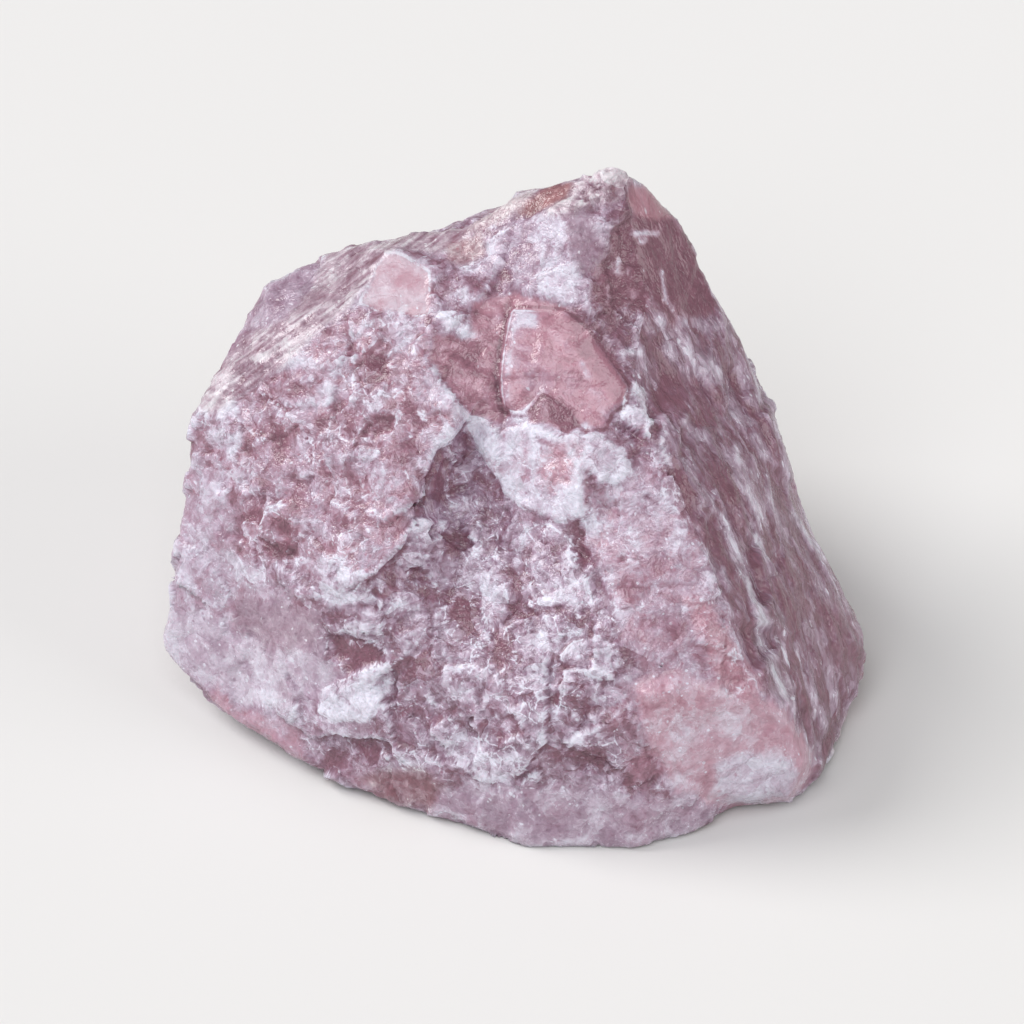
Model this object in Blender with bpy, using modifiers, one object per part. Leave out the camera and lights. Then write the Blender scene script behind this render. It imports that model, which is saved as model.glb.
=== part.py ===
"""Rough piece of strawberry calcite: one broken, angular chunk of stone with a flat spot to rest on.

Metres, +Z up, +X to the right, +Y to the back. The origin is under the middle of the
stone, on the plane that it rests on.
"""

import math

import bmesh
import bpy
from mathutils import Vector, noise

# ---- driving dimensions -------------------------------------------------------------
NAME = "strawberry_calcite"
MM = 0.001
UNIT = 0.151 * MM             # one landmark unit; the whole stone scales with it
ZERO_ACROSS, ZERO_DOWN = 532, 572   # landmark that lies at the stone's front foot
TILT = math.radians(40)       # the landmarks are read looking down at this angle
CENTRE = Vector((-0.5, 16.5, 13.5)) * MM   # a point inside, which sees every landmark
FOOT = Vector((-0.1, 18.9, 0.0)) * MM      # under the middle of the stone
SPLITS = 3                    # times that each face of the net is cut in four
ROUNDING = 3                  # smoothing passes that take the edge off the net
SKIN = 0.5 * MM               # mesh size that carries the chips
TRIANGLES = 6400              # triangles that the finished surface keeps

# relief of the broken surface: chip size, tilt of the chips, height of their steps
CHIPS = (
    (7.0 * MM, 0.10, 0.25 * MM),
    (3.0 * MM, 0.16, 0.22 * MM),
)

# ---- landmarks ----------------------------------------------------------------------
# (across, down, depth): across and down in landmark units, depth in mm away from the
# viewer. Each group runs along one feature of the stone.
OUTLINE = [
    (379, 489, 8.0), (384, 470, 6.3), (387, 447, 4.8), (390, 420, 3.8), (394, 395, 3.0),
    (403, 370, 2.6), (414, 350, 3.4), (424, 328, 4.2), (444, 319, 4.2), (467, 312, 3.2),
    (489, 308, 2.2), (511, 307, 1.4), (526, 297, 0.4), (545, 289, -0.3), (563, 282, -1.2),
    (578, 280, -1.6), (592, 288, 0.4), (605, 302, 2.2), (614, 322, 3.4), (628, 345, 4.6),
    (640, 372, 5.6), (650, 397, 6.2), (661, 430, 7.0), (675, 458, 8.0), (686, 481, 9.0),
    (683, 497, 9.2), (679, 517, 9.4), (667, 543, 4.7), (652, 555, 2.4), (630, 556, 2.0),
    (612, 566, 0.8), (585, 573, -0.3), (560, 571, 0.0), (540, 572, -0.1), (520, 566, 0.7),
    (490, 556, 2.0), (462, 546, 3.2), (439, 536, 4.6), (415, 522, 6.2), (396, 507, 7.6),
]
TOP_LEFT_EDGE = [
    (405, 372, 1.5), (435, 352, -0.8), (462, 342, -1.6), (478, 316, -0.6), (500, 316, 0.2),
    (516, 322, -0.6),
]
FRONT_LEFT_FACE = [
    (415, 400, 0.6), (412, 440, 1.6), (445, 395, -2.2), (440, 430, -1.8), (440, 465, -0.6),
    (412, 475, 4.0), (470, 380, -3.4),
]
OVERHANGING_EDGE = [
    (498, 330, -1.8), (498, 362, -3.4), (509, 385, -4.2), (498, 405, -4.4), (490, 425, -4.7),
    (483, 444, -4.7), (470, 458, -4.2),
]
HOLLOW = [
    (514, 402, -2.4), (512, 424, -1.9), (510, 447, -2.4), (517, 475, -3.3), (498, 470, -3.3),
]
GLASSY_FACET_AND_BLOCK = [
    (535, 343, -2.9), (556, 346, -3.7), (582, 379, -4.4), (572, 386, -5.0), (529, 378, -3.6),
    (522, 384, -3.4), (540, 384, -4.6), (556, 402, -5.4), (545, 420, -4.6), (528, 412, -3.6),
]
UNDER_PEAK = [(556, 300, -2.4), (563, 336, -3.6), (536, 318, -1.5)]
MAIN_RIDGE = [
    (594, 398, -5.2), (604, 425, -5.7), (618, 457, -5.6), (632, 485, -5.0), (648, 514, -3.2),
    (657, 536, -0.4),
]
BAND_BESIDE_RIDGE = [
    (562, 440, -5.4), (575, 455, -6.1), (588, 485, -6.3), (600, 512, -5.6), (612, 538, -3.0),
    (640, 536, -1.6),
]
LOWER_FRONT = [
    (440, 500, 1.6), (465, 486, -1.4), (470, 512, -0.2), (500, 500, -3.3), (504, 530, -1.6),
    (535, 500, -4.8), (540, 532, -3.6), (562, 506, -5.9), (575, 540, -3.6), (566, 556, -1.9),
    (530, 553, -1.5), (590, 560, -1.4), (415, 500, 5.4), (450, 525, 2.3), (480, 540, 1.0),
]
RIGHT_FACE = [
    (582, 300, -1.5), (594, 330, -0.9), (612, 372, 0.2), (634, 405, 0.8), (630, 435, -1.8),
    (650, 460, 1.6), (662, 497, 2.2), (668, 520, 3.4),
]
# (right, back, up) in mm: the far side and the under side
BACK = [
    (2, 33, 27.5), (-9, 33, 22.5), (-15, 29, 21), (9, 32, 24), (14.5, 30, 17), (-5, 36, 19),
    (5, 37.5, 15), (-18, 26, 13), (17.5, 26, 11), (-13, 34, 10), (13, 34, 7), (0, 38.5, 7),
    (-21.5, 21, 7.5), (21.8, 20, 2.5), (-19, 25, 2.5), (-12, 31, 0.8), (0, 36, 0.6),
    (11, 32, 0.6), (18.5, 25, 0.6),
]
UNDER_SIDE = [
    (-17, 20, -2.6), (-9, 26, -3.0), (1, 29, -3.2), (10, 27, -3.0), (16, 20, -2.6),
    (15, 12, -2.6), (8, 6, -2.6), (-1, 5, -2.6), (-9, 10, -2.6), (-15, 15, -2.4),
    (0, 16, -3.4),
]


def seen_landmark(across, down, depth):
    """Place of a landmark that is read looking down at TILT."""
    height = (ZERO_DOWN - down) * UNIT
    depth = depth * MM
    return Vector((
        (across - ZERO_ACROSS) * UNIT,
        height * math.sin(TILT) + depth * math.cos(TILT),
        height * math.cos(TILT) - depth * math.sin(TILT),
    ))


def landmarks():
    seen = (OUTLINE + TOP_LEFT_EDGE + FRONT_LEFT_FACE + OVERHANGING_EDGE + HOLLOW
            + GLASSY_FACET_AND_BLOCK + UNDER_PEAK + MAIN_RIDGE + BAND_BESIDE_RIDGE
            + LOWER_FRONT + RIGHT_FACE)
    return [seen_landmark(*p) for p in seen] + [Vector(p) * MM for p in BACK + UNDER_SIDE]


def chip_height(point, size, tilt, step):
    """Height of one layer of chips: each cell is a small plane with its own slope and level."""
    place = point / size
    _, seeds = noise.voronoi(place)
    turn = noise.cell_vector(seeds[0] * 97.0)
    level = noise.cell(seeds[0] * 131.0)
    return (place - seeds[0]).dot(turn) * tilt * size + (level - 0.5) * step


def stone_net():
    """Closed net of triangles through the landmarks: each looks out from CENTRE on its own line."""
    points = landmarks()
    bm = bmesh.new()
    for point in points:
        bm.verts.new((point - CENTRE).normalized())
    bmesh.ops.convex_hull(bm, input=bm.verts[:])
    bmesh.ops.triangulate(bm, faces=bm.faces[:])
    bm.verts.ensure_lookup_table()
    for vert, point in zip(bm.verts[:], points):
        vert.co = point
    return bm


def replace_by_modifier(bm, kind, **settings):
    """The mesh after one modifier, in place of the mesh."""
    mesh = bpy.data.meshes.new("step")
    bm.to_mesh(mesh)
    holder = bpy.data.objects.new("step", mesh)
    bpy.context.scene.collection.objects.link(holder)
    modifier = holder.modifiers.new(kind, kind)
    for key, value in settings.items():
        setattr(modifier, key, value)
    graph = bpy.context.evaluated_depsgraph_get()
    result = bpy.data.meshes.new_from_object(holder.evaluated_get(graph))
    bm.clear()
    bm.from_mesh(result)
    bpy.data.objects.remove(holder, do_unlink=True)
    bpy.data.meshes.remove(mesh)
    bpy.data.meshes.remove(result)


def drop_crumbs(bm):
    """Keeps the largest connected piece."""
    left = set(bm.verts)
    pieces = []
    while left:
        piece = {left.pop()}
        edge_of_growth = list(piece)
        while edge_of_growth:
            vert = edge_of_growth.pop()
            for edge in vert.link_edges:
                other = edge.other_vert(vert)
                if other in left:
                    left.remove(other)
                    piece.add(other)
                    edge_of_growth.append(other)
        pieces.append(piece)
    largest = max(pieces, key=len)
    bmesh.ops.delete(bm, geom=[v for v in bm.verts if v not in largest], context="VERTS")


def build_stone():
    bm = stone_net()
    for _ in range(SPLITS):
        bmesh.ops.subdivide_edges(bm, edges=bm.edges[:], cuts=1, use_grid_fill=True)
    for _ in range(ROUNDING):
        bmesh.ops.smooth_vert(bm, verts=bm.verts[:], factor=0.5, use_axis_x=True,
                              use_axis_y=True, use_axis_z=True)
    bmesh.ops.recalc_face_normals(bm, faces=bm.faces[:])

    # an even skin to carry the chips
    replace_by_modifier(bm, "REMESH", mode="VOXEL", voxel_size=SKIN, adaptivity=0.0)
    bm.normal_update()
    lifts = [sum(chip_height(v.co, *layer) for layer in CHIPS) for v in bm.verts]
    normals = [v.normal.copy() for v in bm.verts]
    for vert, normal, lift in zip(bm.verts, normals, lifts):
        vert.co += normal * lift
    bmesh.ops.triangulate(bm, faces=bm.faces[:])
    replace_by_modifier(bm, "DECIMATE", decimate_type="COLLAPSE", ratio=TRIANGLES / len(bm.faces))

    # the flat spot that it rests on
    bmesh.ops.bisect_plane(bm, geom=bm.verts[:] + bm.edges[:] + bm.faces[:], dist=1e-6,
                           plane_co=(0, 0, 0), plane_no=(0, 0, 1), clear_inner=True)
    drop_crumbs(bm)
    rim = [e for e in bm.edges if e.is_boundary]
    for vert in {v for e in rim for v in e.verts}:
        vert.co.z = 0.0
    bmesh.ops.edgeloop_fill(bm, edges=rim)
    bmesh.ops.triangulate(bm, faces=[f for f in bm.faces if len(f.verts) > 3])
    bmesh.ops.dissolve_degenerate(bm, dist=1e-5, edges=bm.edges[:])
    bmesh.ops.recalc_face_normals(bm, faces=bm.faces[:])
    bmesh.ops.translate(bm, vec=-FOOT, verts=bm.verts[:])

    mesh = bpy.data.meshes.new("stone")
    bm.to_mesh(mesh)
    bm.free()
    return mesh


def rose_material():
    material = bpy.data.materials.new("rose_calcite")
    material.use_nodes = True
    shader = material.node_tree.nodes["Principled BSDF"]
    shader.inputs["Base Color"].default_value = (0.42, 0.27, 0.33, 1.0)
    shader.inputs["Roughness"].default_value = 0.45
    shader.inputs["Metallic"].default_value = 0.0
    shader.inputs["IOR"].default_value = 1.55
    return material


def main():
    for old in list(bpy.data.objects):
        bpy.data.objects.remove(old, do_unlink=True)
    collection = bpy.data.collections.new(NAME)
    bpy.context.scene.collection.children.link(collection)
    stone = bpy.data.objects.new("stone", build_stone())
    stone.data.materials.append(rose_material())
    collection.objects.link(stone)


main()
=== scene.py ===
"""Rough strawberry calcite: the finished surface of the stone, a pale floor, soft light and the camera."""

import math

import bmesh
import bpy
import numpy as np
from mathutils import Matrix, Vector


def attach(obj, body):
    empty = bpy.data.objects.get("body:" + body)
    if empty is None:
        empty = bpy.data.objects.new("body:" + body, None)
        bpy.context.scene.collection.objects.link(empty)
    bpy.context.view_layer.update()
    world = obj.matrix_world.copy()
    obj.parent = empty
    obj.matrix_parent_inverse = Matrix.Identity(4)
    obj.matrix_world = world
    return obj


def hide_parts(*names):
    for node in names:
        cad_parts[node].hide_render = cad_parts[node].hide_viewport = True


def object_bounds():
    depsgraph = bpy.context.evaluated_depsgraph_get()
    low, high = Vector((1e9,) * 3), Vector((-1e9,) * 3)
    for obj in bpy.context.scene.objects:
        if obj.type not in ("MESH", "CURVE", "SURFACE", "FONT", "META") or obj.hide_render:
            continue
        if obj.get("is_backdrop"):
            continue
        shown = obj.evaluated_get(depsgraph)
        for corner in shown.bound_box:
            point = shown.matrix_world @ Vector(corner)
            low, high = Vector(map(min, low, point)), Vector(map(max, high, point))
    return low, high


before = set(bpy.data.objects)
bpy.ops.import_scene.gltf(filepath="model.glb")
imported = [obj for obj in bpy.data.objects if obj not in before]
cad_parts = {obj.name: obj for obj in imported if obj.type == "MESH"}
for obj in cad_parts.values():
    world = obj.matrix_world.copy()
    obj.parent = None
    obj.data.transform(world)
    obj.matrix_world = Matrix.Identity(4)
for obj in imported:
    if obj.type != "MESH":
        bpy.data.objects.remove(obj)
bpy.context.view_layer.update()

# ======================================================================================
# Shape: the same landmarks as the solid. Lengths are in mm until the mesh is stored.
# ======================================================================================
MM = 0.001
UNIT = 0.151
ZERO_ACROSS, ZERO_DOWN = 532, 572
TILT = math.radians(40)
CENTRE = np.array([-0.5, 16.5, 13.5])
FOOT = np.array([-0.1, 18.9, 0.0])
SPLITS, ROUNDING = 3, 2
SKIN = 0.275              # mesh size of the finished surface
MOST_TRIANGLES = 198000

OUTLINE = [
    (379, 489, 8.0), (384, 470, 6.3), (387, 447, 4.8), (390, 420, 3.8), (394, 395, 3.0),
    (403, 370, 2.6), (414, 350, 3.4), (424, 328, 4.2), (444, 319, 4.2), (467, 312, 3.2),
    (489, 308, 2.2), (511, 307, 1.4), (526, 297, 0.4), (545, 289, -0.3), (563, 282, -1.2),
    (578, 280, -1.6), (592, 288, 0.4), (605, 302, 2.2), (614, 322, 3.4), (628, 345, 4.6),
    (640, 372, 5.6), (650, 397, 6.2), (661, 430, 7.0), (675, 458, 8.0), (686, 481, 9.0),
    (683, 497, 9.2), (679, 517, 9.4), (667, 543, 4.7), (652, 555, 2.4), (630, 556, 2.0),
    (612, 566, 0.8), (585, 573, -0.3), (560, 571, 0.0), (540, 572, -0.1), (520, 566, 0.7),
    (490, 556, 2.0), (462, 546, 3.2), (439, 536, 4.6), (415, 522, 6.2), (396, 507, 7.6),
]
TOP_LEFT_EDGE = [
    (405, 372, 1.5), (435, 352, -0.8), (462, 342, -1.6), (478, 316, -0.6), (500, 316, 0.2),
    (516, 322, -0.6),
]
FRONT_LEFT_FACE = [
    (415, 400, 0.6), (412, 440, 1.6), (445, 395, -2.2), (440, 430, -1.8), (440, 465, -0.6),
    (412, 475, 4.0), (470, 380, -3.4),
]
OVERHANGING_EDGE = [
    (498, 330, -1.8), (498, 362, -3.4), (509, 385, -4.2), (498, 405, -4.4), (490, 425, -4.7),
    (483, 444, -4.7), (470, 458, -4.2),
]
HOLLOW = [
    (514, 402, -2.4), (512, 424, -1.9), (510, 447, -2.4), (517, 475, -3.3), (498, 470, -3.3),
]
GLASSY_FACET_AND_BLOCK = [
    (535, 343, -2.9), (556, 346, -3.7), (582, 379, -4.4), (572, 386, -5.0), (529, 378, -3.6),
    (522, 384, -3.4), (540, 384, -4.6), (556, 402, -5.4), (545, 420, -4.6), (528, 412, -3.6),
]
UNDER_PEAK = [(556, 300, -2.4), (563, 336, -3.6), (536, 318, -1.5)]
MAIN_RIDGE = [
    (594, 398, -5.2), (604, 425, -5.7), (618, 457, -5.6), (632, 485, -5.0), (648, 514, -3.2),
    (657, 536, -0.4),
]
BAND_BESIDE_RIDGE = [
    (562, 440, -5.4), (575, 455, -6.1), (588, 485, -6.3), (600, 512, -5.6), (612, 538, -3.0),
    (640, 536, -1.6),
]
LOWER_FRONT = [
    (440, 500, 1.6), (465, 486, -1.4), (470, 512, -0.2), (500, 500, -3.3), (504, 530, -1.6),
    (535, 500, -4.8), (540, 532, -3.6), (562, 506, -5.9), (575, 540, -3.6), (566, 556, -1.9),
    (530, 553, -1.5), (590, 560, -1.4), (415, 500, 5.4), (450, 525, 2.3), (480, 540, 1.0),
]
RIGHT_FACE = [
    (582, 300, -1.5), (594, 330, -0.9), (612, 372, 0.2), (634, 405, 0.8), (630, 435, -1.8),
    (650, 460, 1.6), (662, 497, 2.2), (668, 520, 3.4),
]
BACK = [
    (2, 33, 27.5), (-9, 33, 22.5), (-15, 29, 21), (9, 32, 24), (14.5, 30, 17), (-5, 36, 19),
    (5, 37.5, 15), (-18, 26, 13), (17.5, 26, 11), (-13, 34, 10), (13, 34, 7), (0, 38.5, 7),
    (-21.5, 21, 7.5), (21.8, 20, 2.5), (-19, 25, 2.5), (-12, 31, 0.8), (0, 36, 0.6),
    (11, 32, 0.6), (18.5, 25, 0.6),
]
UNDER_SIDE = [
    (-17, 20, -2.6), (-9, 26, -3.0), (1, 29, -3.2), (10, 27, -3.0), (16, 20, -2.6),
    (15, 12, -2.6), (8, 6, -2.6), (-1, 5, -2.6), (-9, 10, -2.6), (-15, 15, -2.4),
    (0, 16, -3.4),
]


def seen_landmark(across, down, depth):
    height = (ZERO_DOWN - down) * UNIT
    return np.array([
        (across - ZERO_ACROSS) * UNIT,
        height * math.sin(TILT) + depth * math.cos(TILT),
        height * math.cos(TILT) - depth * math.sin(TILT),
    ])


def landmarks():
    seen = (OUTLINE + TOP_LEFT_EDGE + FRONT_LEFT_FACE + OVERHANGING_EDGE + HOLLOW
            + GLASSY_FACET_AND_BLOCK + UNDER_PEAK + MAIN_RIDGE + BAND_BESIDE_RIDGE
            + LOWER_FRONT + RIGHT_FACE)
    return [seen_landmark(*p) for p in seen] + [np.array(p, float) for p in BACK + UNDER_SIDE]


# ---- repeatable noise ----------------------------------------------------------------
LOW = np.uint64(0xFFFFFFFF)


def scramble(h, a, b):
    h = ((h ^ (h >> np.uint64(16))) * np.uint64(a)) & LOW
    h = ((h ^ (h >> np.uint64(15))) * np.uint64(b)) & LOW
    return h ^ (h >> np.uint64(16))


def cell_number(cell, seed):
    c = cell.astype(np.int64)
    h = (c[:, 0] * 73856093) ^ (c[:, 1] * 19349663) ^ (c[:, 2] * 83492791) ^ (seed * 2654435761)
    return scramble((h & 0xFFFFFFFF).astype(np.uint64), 0x45D9F3B, 0x45D9F3B)


def number(h, k):
    """One of several even 0..1 numbers that belong to a cell."""
    h = (h + np.uint64((k * 0x9E3779B9) & 0xFFFFFFFF)) & LOW
    return scramble(h, 0x7FEB352D, 0x846CA68B).astype(np.float64) / 4294967296.0


def wave(p, size, seed):
    """Smooth gradient noise, about -1 to 1."""
    q = p / size + seed * 3.17
    i = np.floor(q)
    f = q - i
    w = f * f * f * (f * (f * 6 - 15) + 10)
    out = np.zeros(len(p))
    for dx in (0, 1):
        for dy in (0, 1):
            for dz in (0, 1):
                h = cell_number(i + (dx, dy, dz), seed)
                g = np.stack([number(h, 1), number(h, 2), number(h, 3)], 1) * 2 - 1
                weight = ((w[:, 0] if dx else 1 - w[:, 0]) * (w[:, 1] if dy else 1 - w[:, 1])
                          * (w[:, 2] if dz else 1 - w[:, 2]))
                out += weight * (g * (f - (dx, dy, dz))).sum(1)
    return out * 1.7


def waves(p, size, seed, octaves=3, gain=0.5):
    total, share, norm = 0.0, 1.0, 0.0
    for k in range(octaves):
        total = total + share * wave(p, size / 2 ** k, seed + 17 * k)
        norm += share
        share *= gain
    return total / norm


def bent(p, size, amount, seed):
    """Points moved about by noise, so that cell borders come out ragged."""
    return p + amount * np.stack([wave(p, size, seed + k) for k in range(3)], 1)


def chips(p, size, seed, tilt, step):
    """(broken relief in mm, a tone from -0.5 to 0.5): each cell is a small plane with its own slope, level and tone."""
    q = p / size + seed * 1.93
    i = np.floor(q)
    best = np.full(len(p), 1e9)
    off = np.zeros((len(p), 3))
    key = np.zeros(len(p), np.uint64)
    for dx in (-1, 0, 1):
        for dy in (-1, 0, 1):
            for dz in (-1, 0, 1):
                c = i + (dx, dy, dz)
                h = cell_number(c, seed)
                d = q - c - np.stack([number(h, 1), number(h, 2), number(h, 3)], 1)
                r = (d * d).sum(1)
                near = r < best
                best[near] = r[near]
                off[near] = d[near]
                key[near] = h[near]
    slope = np.stack([number(key, 4), number(key, 5), number(key, 6)], 1) * 2 - 1
    return (off * slope).sum(1) * size * tilt + (number(key, 7) - 0.5) * step, number(key, 8) - 0.5


def ramp(x, low, high):
    t = np.clip((x - low) / (high - low), 0, 1)
    return t * t * (3 - 2 * t)


# ---- from landmarks to an even, closed skin ------------------------------------------
def stone_cage():
    """Net through the landmarks, split, eased and cut flat underneath."""
    points = landmarks()
    bm = bmesh.new()
    for point in points:
        line = point - CENTRE
        bm.verts.new(Vector(line / np.linalg.norm(line)))
    bmesh.ops.convex_hull(bm, input=bm.verts[:])
    bmesh.ops.triangulate(bm, faces=bm.faces[:])
    bm.verts.ensure_lookup_table()
    for vert, point in zip(bm.verts[:], points):
        vert.co = Vector(point)
    for _ in range(SPLITS):
        bmesh.ops.subdivide_edges(bm, edges=bm.edges[:], cuts=1, use_grid_fill=True)
    for _ in range(ROUNDING):
        bmesh.ops.smooth_vert(bm, verts=bm.verts[:], factor=0.5, use_axis_x=True,
                              use_axis_y=True, use_axis_z=True)
    bmesh.ops.bisect_plane(bm, geom=bm.verts[:] + bm.edges[:] + bm.faces[:], dist=1e-5,
                           plane_co=(0, 0, 0), plane_no=(0, 0, 1), clear_inner=True)
    bmesh.ops.edgeloop_fill(bm, edges=[e for e in bm.edges if e.is_boundary])
    bmesh.ops.triangulate(bm, faces=[f for f in bm.faces if len(f.verts) > 3])
    bmesh.ops.recalc_face_normals(bm, faces=bm.faces[:])
    mesh = bpy.data.meshes.new("cage")
    bm.to_mesh(mesh)
    bm.free()
    return mesh


def even_skin(cage, size):
    holder = bpy.data.objects.new("cage", cage)
    bpy.context.scene.collection.objects.link(holder)
    modifier = holder.modifiers.new("skin", "REMESH")
    modifier.mode = "VOXEL"
    modifier.voxel_size = size
    modifier.adaptivity = 0.0
    graph = bpy.context.evaluated_depsgraph_get()
    skin = bpy.data.meshes.new_from_object(holder.evaluated_get(graph))
    bpy.data.objects.remove(holder, do_unlink=True)
    bpy.data.meshes.remove(cage)
    return skin


def read(mesh, what, items, width, kind=np.float64):
    out = np.empty(len(items) * width, kind)
    items.foreach_get(what, out)
    return out.reshape(-1, width)


class Web:
    """Averages over neighbours on the skin."""

    def __init__(self, count, edges):
        self.count, self.a, self.b = count, edges[:, 0], edges[:, 1]
        self.share = 1.0 / np.bincount(edges.ravel(), minlength=count)

    def ease(self, x, times, rate=0.5):
        x = np.array(x, float)
        flat = x.reshape(self.count, -1)
        for _ in range(times):
            mean = np.stack([
                np.bincount(self.a, c[self.b], self.count) + np.bincount(self.b, c[self.a], self.count)
                for c in flat.T
            ], 1) * self.share[:, None]
            flat = flat + rate * (mean - flat)
        return flat.reshape(x.shape)


def unit(v):
    return v / np.maximum(np.linalg.norm(v, axis=1), 1e-12)[:, None]


# ---- places on the seen side, in landmark units ----------------------------------------
def on_view(p):
    """(across, down) of points, as the landmarks are read."""
    up = p[:, 1] * math.sin(TILT) + p[:, 2] * math.cos(TILT)
    return np.stack([p[:, 0] / UNIT + ZERO_ACROSS, ZERO_DOWN - up / UNIT], 1)


def depth_in(at, outline):
    """Distance inside a closed outline, negative outside and -99 far from it."""
    corners = np.array(outline, float)
    low, high = corners.min(0) - 12, corners.max(0) + 12
    near = np.nonzero(((at > low) & (at < high)).all(1))[0]
    out = np.full(len(at), -99.0)
    x, y = at[near, 0], at[near, 1]
    best = np.full(len(near), 1e9)
    odd = np.zeros(len(near), bool)
    for (x0, y0), (x1, y1) in zip(corners, np.roll(corners, -1, axis=0)):
        dx, dy = x1 - x0, y1 - y0
        t = np.clip(((x - x0) * dx + (y - y0) * dy) / (dx * dx + dy * dy), 0, 1)
        best = np.minimum(best, (x - x0 - t * dx) ** 2 + (y - y0 - t * dy) ** 2)
        if y0 != y1:
            odd ^= ((y0 > y) != (y1 > y)) & (x < dx * (y - y0) / dy + x0)
    out[near] = np.where(odd, 1, -1) * np.sqrt(best)
    return out


FRAY = 1.7                # how wide the edges of patches are, for the grain to break up


def areas(at, rows):
    """Union of outlines. Row: outline, strength, softness of its edge."""
    out = np.zeros(len(at))
    for outline, strength, soft in rows:
        out = np.maximum(out, strength * ramp(depth_in(at, outline), -FRAY * soft, FRAY * soft))
    return out


def lines(at, rows):
    """Union of soft lines. Row: points, half width, strength."""
    out = np.zeros(len(at))
    for line, width, strength in rows:
        for (x0, y0), (x1, y1) in zip(line[:-1], line[1:]):
            dx, dy = x1 - x0, y1 - y0
            t = np.clip(((at[:, 0] - x0) * dx + (at[:, 1] - y0) * dy) / (dx * dx + dy * dy), 0, 1)
            r = np.hypot(at[:, 0] - x0 - t * dx, at[:, 1] - y0 - t * dy)
            out = np.maximum(out, strength * (1 - ramp(r, 0.35 * width, 1.35 * width)))
    return out


# outlines that are used more than once
PALE_BLOCK = [(513, 387), (522, 389), (528, 393), (538, 391), (548, 393), (553, 397), (563, 392), (571, 396),
              (580, 401), (584, 411), (577, 416), (569, 414), (563, 410), (564, 420), (563, 430), (556, 433),
              (547, 430), (538, 427), (530, 421), (524, 411), (517, 400)]
PINK_FACET = [(478, 315.5), (487, 318.5), (497, 325), (497.5, 334), (497, 344), (486, 343.5), (475, 342),
              (467.5, 339), (469, 335), (472, 328)]
UNDER_PEAK_CRUST = [(517, 325), (521, 316), (527, 308), (541, 302), (552, 298), (556, 306), (558, 317), (563, 328),
                    (564, 338), (556, 340), (548, 337), (540, 334), (530, 331), (521, 329)]
CLEAR_RECESS = [(498, 364), (500, 352), (512, 354), (517, 338), (532, 336), (531, 350), (528, 365), (527, 378),
                (531, 386), (526, 391), (514, 386), (506, 376)]
GLASSY_FACET = [(532, 341), (545, 342), (554, 343), (563, 350), (572, 361), (582, 374), (580, 381), (574, 385),
                (571, 392), (563, 392), (558, 385), (552, 380), (545, 376), (541, 381), (537, 386), (532, 386),
                (528, 384), (527, 372), (529, 356)]
SALMON_STRIP = [(516, 339), (525, 334), (535, 335), (545, 338), (557, 342), (548, 345), (535, 342), (520, 342)]
DARK_TRIANGLE = [(545, 376.5), (552, 380), (558, 385), (562, 391), (556, 394), (548, 393), (540, 392), (538.5, 390)]
WHITE_WEDGE = [(579, 388), (581, 377), (585, 372), (589, 375), (592, 386), (592, 391), (585, 393)]
GREY_SCALE = [(552, 489), (558, 483), (568, 480), (576, 484), (579, 492), (574, 500), (565, 497), (557, 495)]
LOW_CRUST = [(450, 505), (457, 501), (466, 497), (474, 492), (481, 492), (482, 500), (478, 508), (473, 518),
             (466, 516), (458, 517), (450, 513)]
SMOOTH_FOOT = [(580, 500), (590, 497), (602, 495), (612, 499), (622, 500), (634, 498), (641, 507), (650, 512),
               (658, 522), (664, 533), (663, 545), (655, 554), (645, 556), (632, 557), (622, 557), (614, 551),
               (602, 549), (597, 540), (590, 528), (584, 517)]
RIBBED_BAND = [(398, 384), (404, 366), (418, 352), (436, 345), (446, 332), (453, 316), (468, 309), (490, 306),
               (512, 305), (514, 311), (500, 317), (484, 314), (478, 320), (470, 331), (462, 342), (448, 353),
               (434, 367), (420, 376), (406, 386)]

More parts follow.
